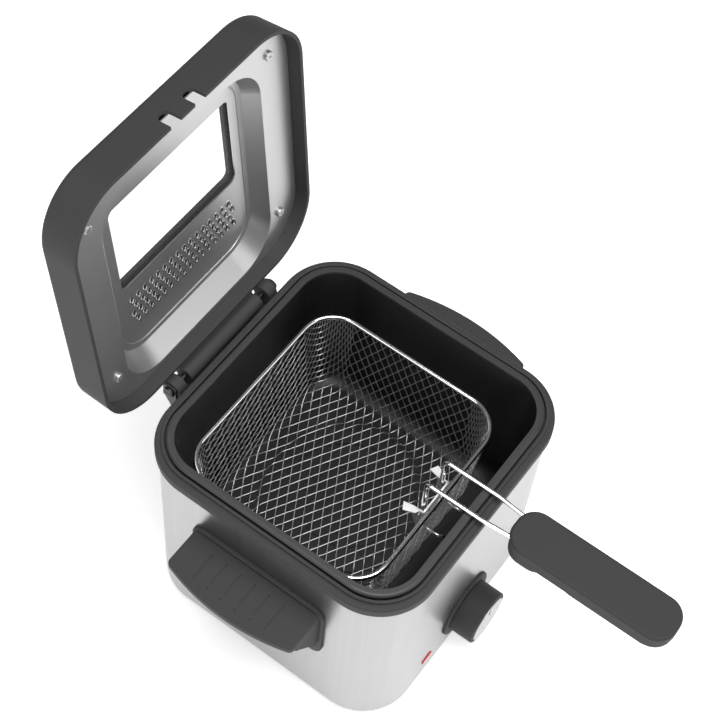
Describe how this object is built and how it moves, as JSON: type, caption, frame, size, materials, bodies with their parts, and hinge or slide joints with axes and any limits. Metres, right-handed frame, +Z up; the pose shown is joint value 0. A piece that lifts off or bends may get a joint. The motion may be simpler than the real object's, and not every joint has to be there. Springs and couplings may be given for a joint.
{
  "type": "deep fryer",
  "caption": "Compact square deep fryer with hinged windowed lid, non-stick pot, wire basket on a detachable handle, side handles and thermostat knob.",
  "frame": {"origin": "on the table, under the middle of the whole object with its lid open; the middle of the shell is 39.5 mm behind it", "axes": "+X to the right seen from the knob side, +Y to the hinge at the back, +Z up"},
  "size_m": [0.285, 0.4029, 0.3944],
  "materials": {
    "brushed_steel": "satin brushed stainless steel",
    "plain_steel": "plain zinc-plated steel",
    "body_plastic": "satin black heat-resistant plastic",
    "grip_plastic": "satin black phenolic plastic",
    "nonstick": "satin black non-stick coating",
    "chrome_wire": "bright chrome-plated wire",
    "liner_metal": "satin grey pressed metal",
    "rubber": "black rubber",
    "window": "clear flat tempered glass",
    "filter": "grey metal-fibre filter",
    "lamp_red": "clear red plastic lens",
    "inner_plastic": "off-white insulating plastic",
    "cap_silver": "spun silver disc"
  },
  "bodies": {
    "housing": {"outer_shell": "brushed_steel", "top_rim": "body_plastic", "pot_gasket": "rubber", "inner_pot": "nonstick", "base_plate": "body_plastic", "rubber_feet": "rubber", "pot_studs": "plain_steel", "stud_nuts": "plain_steel", "heat_spreader": "liner_metal", "heating_element": "plain_steel", "heat_shield": "plain_steel", "thermal_cutout": "plain_steel", "thermostat_body": "plain_steel", "thermostat_bulb": "plain_steel", "terminal_block": "inner_plastic", "wiring": "inner_plastic", "cord_gland": "rubber", "hinge_bracket": "plain_steel", "hinge_screws": "plain_steel", "hinge_pins": "plain_steel", "hinge_cover": "body_plastic", "side_handle_right": "body_plastic", "side_handle_left": "body_plastic", "side_handle_screws": "plain_steel", "dial_bezel": "body_plastic", "lamp_lens": "lamp_red", "lamp_body": "inner_plastic"},
    "knob": {"control_knob": "body_plastic", "knob_cap": "cap_silver", "thermostat_shaft": "plain_steel"},
    "lid": {"lid_cover": "body_plastic", "lid_liner": "liner_metal", "window_glass": "window", "window_gasket": "rubber", "filter_pad": "filter", "lid_screws": "plain_steel"},
    "basket": {"basket_rim_wire": "chrome_wire", "basket_mesh": "chrome_wire", "handle_bracket": "chrome_wire", "drain_hooks": "chrome_wire"},
    "basket_handle": {"grip_upper": "grip_plastic", "grip_lower": "grip_plastic", "grip_screws": "plain_steel"},
    "right_wire": {"handle_wire_right": "chrome_wire"},
    "left_wire": {"handle_wire_left": "chrome_wire"}
  },
  "joints": [
    {"name": "lid_hinge", "type": "hinge", "parent": "housing", "child": "lid", "pos_m": [0, 0.152, 0.178], "axis": [-1, 0, 0], "range_deg": [-95, 0]},
    {"name": "knob_turn", "type": "hinge", "parent": "housing", "child": "knob", "pos_m": [0, -0.0705, 0.042], "axis": [0, -1, 0], "range_deg": [-270, 0]},
    {"name": "basket_lift", "type": "slide", "parent": "housing", "child": "basket", "axis": [0, 0, 1], "range_m": [0, 0.2]},
    {"name": "handle_fold", "type": "hinge", "parent": "basket", "child": "basket_handle", "pos_m": [0, -0.0225, 0.152], "axis": [-1, 0, 0], "range_deg": [0, 80]},
    {"name": "right_wire_squeeze", "type": "hinge", "parent": "basket_handle", "child": "right_wire", "pos_m": [0.0088, -0.1065, 0.1873], "axis": [0, 0, 1], "range_deg": [0, 2.8], "stiffness_Nm_per_rad": 3},
    {"name": "left_wire_squeeze", "type": "hinge", "parent": "basket_handle", "child": "left_wire", "pos_m": [-0.0088, -0.1065, 0.1873], "axis": [0, 0, -1], "range_deg": [0, 2.8], "stiffness_Nm_per_rad": 3}
  ],
  "couplings": [
    {"joint": "left_wire_squeeze", "follows": "right_wire_squeeze", "ratio": 1}
  ]
}
